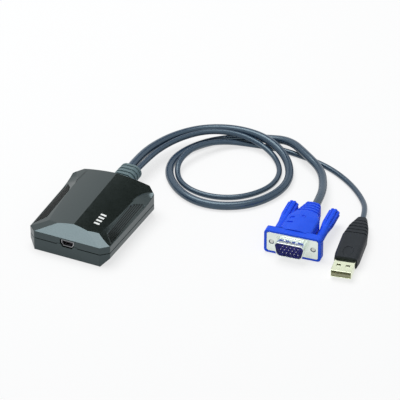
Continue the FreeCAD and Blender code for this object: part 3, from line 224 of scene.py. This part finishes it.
def makeFinish(name, look):
    material = bpy.data.materials.new(name)
    material.use_nodes = True
    tree = material.node_tree
    shader = tree.nodes["Principled BSDF"]
    shader.inputs["Metallic"].default_value = look.get("metal", 0)
    if "specular" in look:
        shader.inputs["Specular IOR Level"].default_value = look["specular"]
    # painted light: a bluish Specular Tint colours the reflections as a bluish lamp would
    if "tint" in look:
        shader.inputs["Specular Tint"].default_value = (*look["tint"], 1)
    patches = addNoise(tree, look["patch"], noiseDetail["patch"])
    tint = tree.nodes.new("ShaderNodeMix")
    tint.data_type = "RGBA"
    tint.inputs["A"].default_value = (*look["dark"], 1)
    tint.inputs["B"].default_value = (*look["pale"], 1)
    tree.links.new(patches, tint.inputs["Factor"])
    tree.links.new(tint.outputs["Result"], shader.inputs["Base Color"])
    wander = tree.nodes.new("ShaderNodeMapRange")
    wander.inputs["To Min"].default_value, wander.inputs["To Max"].default_value = look["rough"]
    wandering = addNoise(tree, look["patch"] * wanderScale, noiseDetail["wander"])
    tree.links.new(wandering, wander.inputs["Value"])
    tree.links.new(wander.outputs["Result"], shader.inputs["Roughness"])
    bump = tree.nodes.new("ShaderNodeBump")
    bump.inputs["Strength"].default_value = look["bump"]
    bump.inputs["Distance"].default_value = grainDepth
    tree.links.new(addNoise(tree, look["grain"], noiseDetail["grain"]), bump.inputs["Height"])
    tree.links.new(bump.outputs["Normal"], shader.inputs["Normal"])
    return material


finishes = {name: makeFinish(name, look) for name, look in looks.items()}

wears = {
    "casePlastic": ["bottom_cover", "top_cover"],
    "bootRubber": ["cable_boot"],
    "cordJacket": ["video_cord", "data_cord", "video_cord_inner_end", "data_cord_inner_end",
                   "video_wire_bundle", "data_wire_bundle"],
    "plugBlue": ["vga_hood", "left_thumbscrew_knob", "right_thumbscrew_knob"],
    "nickel": ["vga_front_shell", "vga_rear_shell"],
    "warmNickel": ["usb_plug_shell"],
    "socketSteel": ["mini_usb_shell"],
    "navyInsert": ["vga_insulator"],
    "contactGold": ["usb_plug_contacts", "mini_usb_contacts"],
    "pinSilver": ["vga_pins"],
    "screwSteel": ["left_jackscrew", "right_jackscrew", "case_screws"],
    "charcoalMould": ["usb_plug_overmould"],
    "creamInsert": ["usb_plug_insert"],
    "blackInsert": ["mini_usb_insert"],
    "boardLacquer": ["main_board"],
    "chipResin": ["video_processor_chip", "usb_controller_chip", "memory_chip"],
    "canMetal": ["crystal", "capacitors"],
    "headerNylon": ["video_cable_header", "data_cable_header"],
}


def paint(piece, finish):
    piece.data.materials.clear()
    piece.data.materials.append(finishes[finish])


for finish, names in wears.items():
    for name in names:
        paint(nodes[name], finish)
print("stage: finishes on the CAD nodes")

# the moulded and the pressed shells get the small radius that their tools leave on every edge

shellEdges = {
    "top_cover": {"piece": "topCoverShell", "finish": "casePlastic", "slot": "case_plastic",
                  "width": 0.28 * mm},
    "bottom_cover": {"piece": "bottomCoverShell", "finish": "casePlastic", "slot": "case_plastic",
                     "width": 0.25 * mm},
    "vga_hood": {"piece": "videoPlugHood", "finish": "plugBlue", "slot": "plug_blue", "width": 0.3 * mm},
    "usb_plug_overmould": {"piece": "dataPlugMould", "finish": "charcoalMould", "slot": "usb_black",
                           "width": 0.25 * mm},
    "cable_boot": {"piece": "cableBootRubber", "finish": "bootRubber", "slot": "boot_rubber",
                   "width": 0.25 * mm},
    "usb_plug_shell": {"piece": "dataPlugShell", "finish": "warmNickel", "slot": "plug_nickel",
                       "width": 0.13 * mm},
    "vga_front_shell": {"piece": "videoPlugShell", "finish": "nickel", "slot": "plug_nickel",
                        "width": 0.13 * mm},
}
edgeRounding = {"segments": 3, "fromAngle": math.radians(28), "seamAngle": math.radians(2.5),
                "flatAngle": math.radians(0.4), "weld": 0.002 * mm}


def onlySelect(piece):
    bpy.ops.object.select_all(action="DESELECT")
    piece.select_set(True)
    bpy.context.view_layer.objects.active = piece


def applyAll(piece):
    onlySelect(piece)
    for modifier in list(piece.modifiers):
        bpy.ops.object.modifier_apply(modifier=modifier.name)


def copyNode(nodeName, pieceName):
    # a merged copy of a CAD node that keeps the seams between its faces as sharp edges
    piece = bpy.data.objects.new(pieceName, nodes[nodeName].data.copy())
    bpy.context.scene.collection.objects.link(piece)
    for key in list(piece.data.keys()):
        del piece.data[key]
    onlySelect(piece)
    bpy.ops.mesh.customdata_custom_splitnormals_clear()
    bpy.ops.object.mode_set(mode="EDIT")
    bpy.ops.mesh.select_mode(type="EDGE")
    bpy.ops.mesh.select_all(action="DESELECT")
    bpy.ops.mesh.select_non_manifold(use_wire=False, use_multi_face=False, use_non_contiguous=False,
                                     use_verts=False)
    bpy.ops.mesh.mark_sharp()
    bpy.ops.mesh.select_all(action="SELECT")
    bpy.ops.mesh.remove_doubles(threshold=edgeRounding["weld"])
    bpy.ops.mesh.select_all(action="DESELECT")
    bpy.ops.mesh.edges_select_sharp(sharpness=edgeRounding["seamAngle"])
    bpy.ops.mesh.select_all(action="INVERT")
    bpy.ops.mesh.mark_sharp(clear=True)
    bpy.ops.mesh.select_all(action="SELECT")
    bpy.ops.mesh.dissolve_limited(angle_limit=edgeRounding["flatAngle"], delimit={"SHARP"})
    bpy.ops.mesh.quads_convert_to_tris(ngon_method="BEAUTY")
    bpy.ops.object.mode_set(mode="OBJECT")
    bpy.ops.object.shade_smooth()
    return piece


def softenShell(nodeName, plan):
    piece = copyNode(nodeName, plan["piece"])
    rounding = piece.modifiers.new("mouldRadius", "BEVEL")
    rounding.width = plan["width"]
    rounding.segments = edgeRounding["segments"]
    rounding.limit_method = "ANGLE"
    rounding.angle_limit = edgeRounding["fromAngle"]
    rounding.use_clamp_overlap = False
    weighing = piece.modifiers.new("flatFaces", "WEIGHTED_NORMAL")
    weighing.keep_sharp = True
    applyAll(piece)
    lowest = min(vertex.co.z for vertex in nodes[nodeName].data.vertices)
    for vertex in piece.data.vertices:
        vertex.co.z = max(vertex.co.z, lowest)  # a rounded corner may not dip below the piece's own foot
    paint(piece, plan["finish"])
    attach(piece, "adapter")
    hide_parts(nodeName)
    return piece


shells = {name: softenShell(name, plan) for name, plan in shellEdges.items()}
print("stage: rounded shells")

# the fine pads of the two grip fields

aboveCase = 30 * mm  # sheets start flat at this height and drop on the cover
gripField = {
    "pitch": (0.96 * mm, 1.3 * mm), "gap": 0.46 * mm, "tall": 0.3 * mm, "sink": 0.04 * mm, "margin": 0.3 * mm,
    "inner": 19.4 * mm, "outer": 24.8 * mm, "frontEnd": -25.5 * mm, "frontSlant": 6.0 * mm,
    "rearEnd": 17.0 * mm, "rearDrop": 9.0 * mm, "rearBend": 2.2,
}


def inGrip(across, along):
    field = gripField
    share = (across - field["inner"]) / (field["outer"] - field["inner"])
    if not 0 < share < 1:
        return False
    near = field["frontEnd"] + field["frontSlant"] * (1 - share) + field["margin"]
    far = field["rearEnd"] - field["rearDrop"] * (1 - share) ** field["rearBend"] - field["margin"]
    return near < along < far


def selectFaces(piece, test):
    # picks faces in object mode, so that edit mode starts with that choice
    bpy.ops.object.mode_set(mode="OBJECT")
    for face in piece.data.polygons:
        face.select = test(face)


def dropOnCover(piece, thickness):
    # projects a flat sheet down on the top cover and gives it its thickness
    drop = piece.modifiers.new("onTheCover", "SHRINKWRAP")
    drop.target = shells["top_cover"]
    drop.wrap_method = "PROJECT"
    drop.use_project_z = True
    drop.use_negative_direction = True
    drop.use_positive_direction = False
    thicken = piece.modifiers.new("sheetThickness", "SOLIDIFY")
    thicken.thickness = thickness
    thicken.offset = 1
    applyAll(piece)


def layGrip(sign, name):
    field = gripField
    wide = field["outer"] - field["inner"] - 2 * field["margin"]
    long = field["rearEnd"] - field["frontEnd"]
    counts = [round(span / pitch) for span, pitch in zip((wide, long), field["pitch"])]
    middle = (sign * (field["inner"] + field["outer"]) / 2, (field["rearEnd"] + field["frontEnd"]) / 2,
              aboveCase)
    bpy.ops.object.select_all(action="DESELECT")
    bpy.ops.mesh.primitive_grid_add(x_subdivisions=counts[0], y_subdivisions=counts[1], size=1,
                                    location=middle)
    pads = bpy.context.object
    pads.name = name
    pads.scale = (wide, long, 1)
    bpy.ops.object.transform_apply(location=True, rotation=True, scale=True)
    bpy.ops.object.mode_set(mode="EDIT")
    bpy.ops.mesh.select_mode(type="FACE")
    selectFaces(pads, lambda face: not inGrip(abs(face.center.x), face.center.y))
    bpy.ops.object.mode_set(mode="EDIT")
    bpy.ops.mesh.delete(type="FACE")
    bpy.ops.mesh.select_all(action="SELECT")
    bpy.ops.mesh.inset(thickness=field["gap"] / 2, use_individual=True)
    bpy.ops.mesh.select_all(action="INVERT")
    bpy.ops.mesh.delete(type="FACE")
    bpy.ops.object.mode_set(mode="OBJECT")
    dropOnCover(pads, field["tall"])
    bpy.ops.object.mode_set(mode="EDIT")
    bpy.ops.mesh.select_all(action="SELECT")
    bpy.ops.transform.translate(value=(0, 0, -field["sink"]))
    bpy.ops.object.mode_set(mode="OBJECT")
    paint(pads, "gripPlastic")
    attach(pads, "adapter")


layGrip(-1, "leftGripPads")
layGrip(1, "rightGripPads")
print("stage: grip pads")

# four plain strokes printed on the roof

roofMark = {"middle": (11.0 * mm, -11.5 * mm), "width": 3.4 * mm, "pitch": 2.9 * mm, "count": 4,
            "columns": 6, "thick": 0.03 * mm}


def printMark():
    mark = roofMark
    bpy.ops.object.select_all(action="DESELECT")
    rows = 2 * mark["count"] - 1  # strokes and the gaps between them, equally wide
    bpy.ops.mesh.primitive_grid_add(x_subdivisions=mark["columns"], y_subdivisions=rows, size=1)
    strokes = bpy.context.object
    strokes.name = "roofStrokes"
    long = mark["pitch"] * rows / 2
    strokes.scale = (mark["width"], long, 1)
    strokes.location = (*mark["middle"], aboveCase)
    bpy.ops.object.transform_apply(location=True, rotation=True, scale=True)
    bpy.ops.object.mode_set(mode="EDIT")
    bpy.ops.mesh.select_mode(type="FACE")
    start = mark["middle"][1] - long / 2
    selectFaces(strokes, lambda face: round((face.center.y - start) * rows / long - 0.5) % 2)
    bpy.ops.object.mode_set(mode="EDIT")
    bpy.ops.mesh.delete(type="FACE")
    bpy.ops.object.mode_set(mode="OBJECT")
    dropOnCover(strokes, mark["thick"])
    paint(strokes, "markInk")
    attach(strokes, "adapter")


printMark()
print("stage: roof strokes")

# the springs seen through the data plug's windows

dataPlug = {"place": (150.5 * mm, 13.5 * mm), "yaw": math.radians(10.5)}
windowSpring = {"side": 2.1 * mm, "thick": 0.2 * mm, "top": 6.22 * mm, "offset": 2.7 * mm,
                "setback": 4.6 * mm, "round": 0.1 * mm, "segments": 2, "smooth": math.radians(40)}


def addSpring(sign, name):
    spring = windowSpring
    turn = dataPlug["yaw"]
    x, y = sign * spring["offset"], spring["setback"]
    middle = (dataPlug["place"][0] + x * math.cos(turn) - y * math.sin(turn),
              dataPlug["place"][1] + x * math.sin(turn) + y * math.cos(turn),
              spring["top"] - spring["thick"] / 2)
    bpy.ops.object.select_all(action="DESELECT")
    bpy.ops.mesh.primitive_cube_add(size=1, location=middle, rotation=(0, 0, turn))
    leaf = bpy.context.object
    leaf.name = name
    leaf.scale = (spring["side"], spring["side"], spring["thick"])
    bpy.ops.object.transform_apply(location=True, rotation=True, scale=True)
    bpy.ops.object.mode_set(mode="EDIT")
    bpy.ops.mesh.select_all(action="SELECT")
    bpy.ops.mesh.bevel(offset=spring["round"], segments=spring["segments"])
    bpy.ops.object.mode_set(mode="OBJECT")
    bpy.ops.object.shade_smooth_by_angle(angle=spring["smooth"])
    paint(leaf, "warmNickel")
    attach(leaf, "adapter")
    return leaf


springs = [addSpring(-1, "leftWindowSpring"), addSpring(1, "rightWindowSpring")]
print("stage: window springs")

# the two cords: each route is in millimetres, from the boot to the plug's tail

cordMesh = {"order": 3, "alongSteps": 16, "aroundSteps": 6}
videoCord = {
    "diameter": 5.0 * mm, "length": 425.5 * mm,
    "route": [
        (-2.0, 51.5, 9.5), (-2.3, 66.0, 9.5), (0.1, 82.0, 9.4), (7.0, 99.0, 9.1), (19.0, 113.2, 8.7),
        (37.4, 121.4, 8.2), (57.0, 120.6, 7.3), (73.6, 111.0, 4.8), (83.6, 95.0, 2.7), (84.2, 77.5, 2.5),
        (75.6, 59.8, 2.5), (60.8, 49.4, 2.5), (43.6, 47.2, 2.5), (27.6, 54.6, 2.5), (15.0, 69.0, 2.5),
        (12.2, 86.4, 2.5), (19.8, 104.8, 2.5), (33.6, 118.2, 2.5), (52.0, 125.8, 2.8), (69.6, 125.6, 6.3),
        (84.6, 115.0, 6.7), (98.8, 105.4, 5.2), (106.8, 89.5, 5.6), (110.8, 75.0, 7.4), (112.36, 61.82, 7.7),
    ],
    "carries": ["cable_boot", "video_cord_inner_end", "vga_front_shell", "vga_insulator", "vga_pins",
                "vga_rear_shell", "vga_hood", "left_thumbscrew_knob", "left_jackscrew",
                "right_thumbscrew_knob", "right_jackscrew"],
}
dataCord = {
    "diameter": 3.3 * mm, "length": 391.0 * mm,
    "route": [
        (2.5, 51.5, 9.5), (3.1, 66.0, 9.4), (5.2, 80.5, 9.6), (11.6, 96.0, 9.9), (22.6, 109.4, 9.8),
        (38.4, 116.7, 8.3), (54.4, 116.8, 4.9), (67.6, 110.0, 2.2), (76.4, 96.5, 1.65), (76.6, 80.0, 1.65),
        (66.4, 64.4, 1.65), (51.2, 57.0, 1.65), (35.0, 58.0, 1.65), (22.6, 66.4, 1.65), (17.4, 79.0, 5.4),
        (21.6, 96.0, 7.2), (32.8, 110.8, 4.4), (48.4, 118.4, 1.65), (66.0, 120.8, 1.65), (84.0, 118.8, 1.65),
        (101.0, 114.4, 1.65), (118.0, 104.4, 1.65), (131.6, 90.6, 2.4), (137.9, 79.2, 3.7),
        (140.29, 68.56, 4.0),
    ],
    "carries": ["data_cord_inner_end", "usb_plug_shell", "usb_plug_insert", "usb_plug_contacts",
                "usb_plug_overmould"],
}


def layCord(name, cord, standsFor):
    curve = bpy.data.curves.new(name, "CURVE")
    curve.dimensions = "3D"
    spline = curve.splines.new("NURBS")
    spline.points.add(len(cord["route"]) - 1)
    for point, place in zip(spline.points, cord["route"]):
        point.co = (*(mm * Vector(place)), 1)
    spline.order_u = cordMesh["order"]
    spline.use_endpoint_u = True
    spline.resolution_u = cordMesh["alongSteps"]
    curve.bevel_depth = cord["diameter"] / 2
    curve.bevel_resolution = cordMesh["aroundSteps"]
    curve.use_fill_caps = True
    piece = bpy.data.objects.new(name, curve)
    bpy.context.scene.collection.objects.link(piece)
    piece.data.materials.append(finishes["cordJacket"])
    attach(piece, "adapter")
    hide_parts(standsFor)


layCord("videoCordJacket", videoCord, "video_cord")
layCord("dataCordJacket", dataCord, "data_cord")
print("stage: cords")
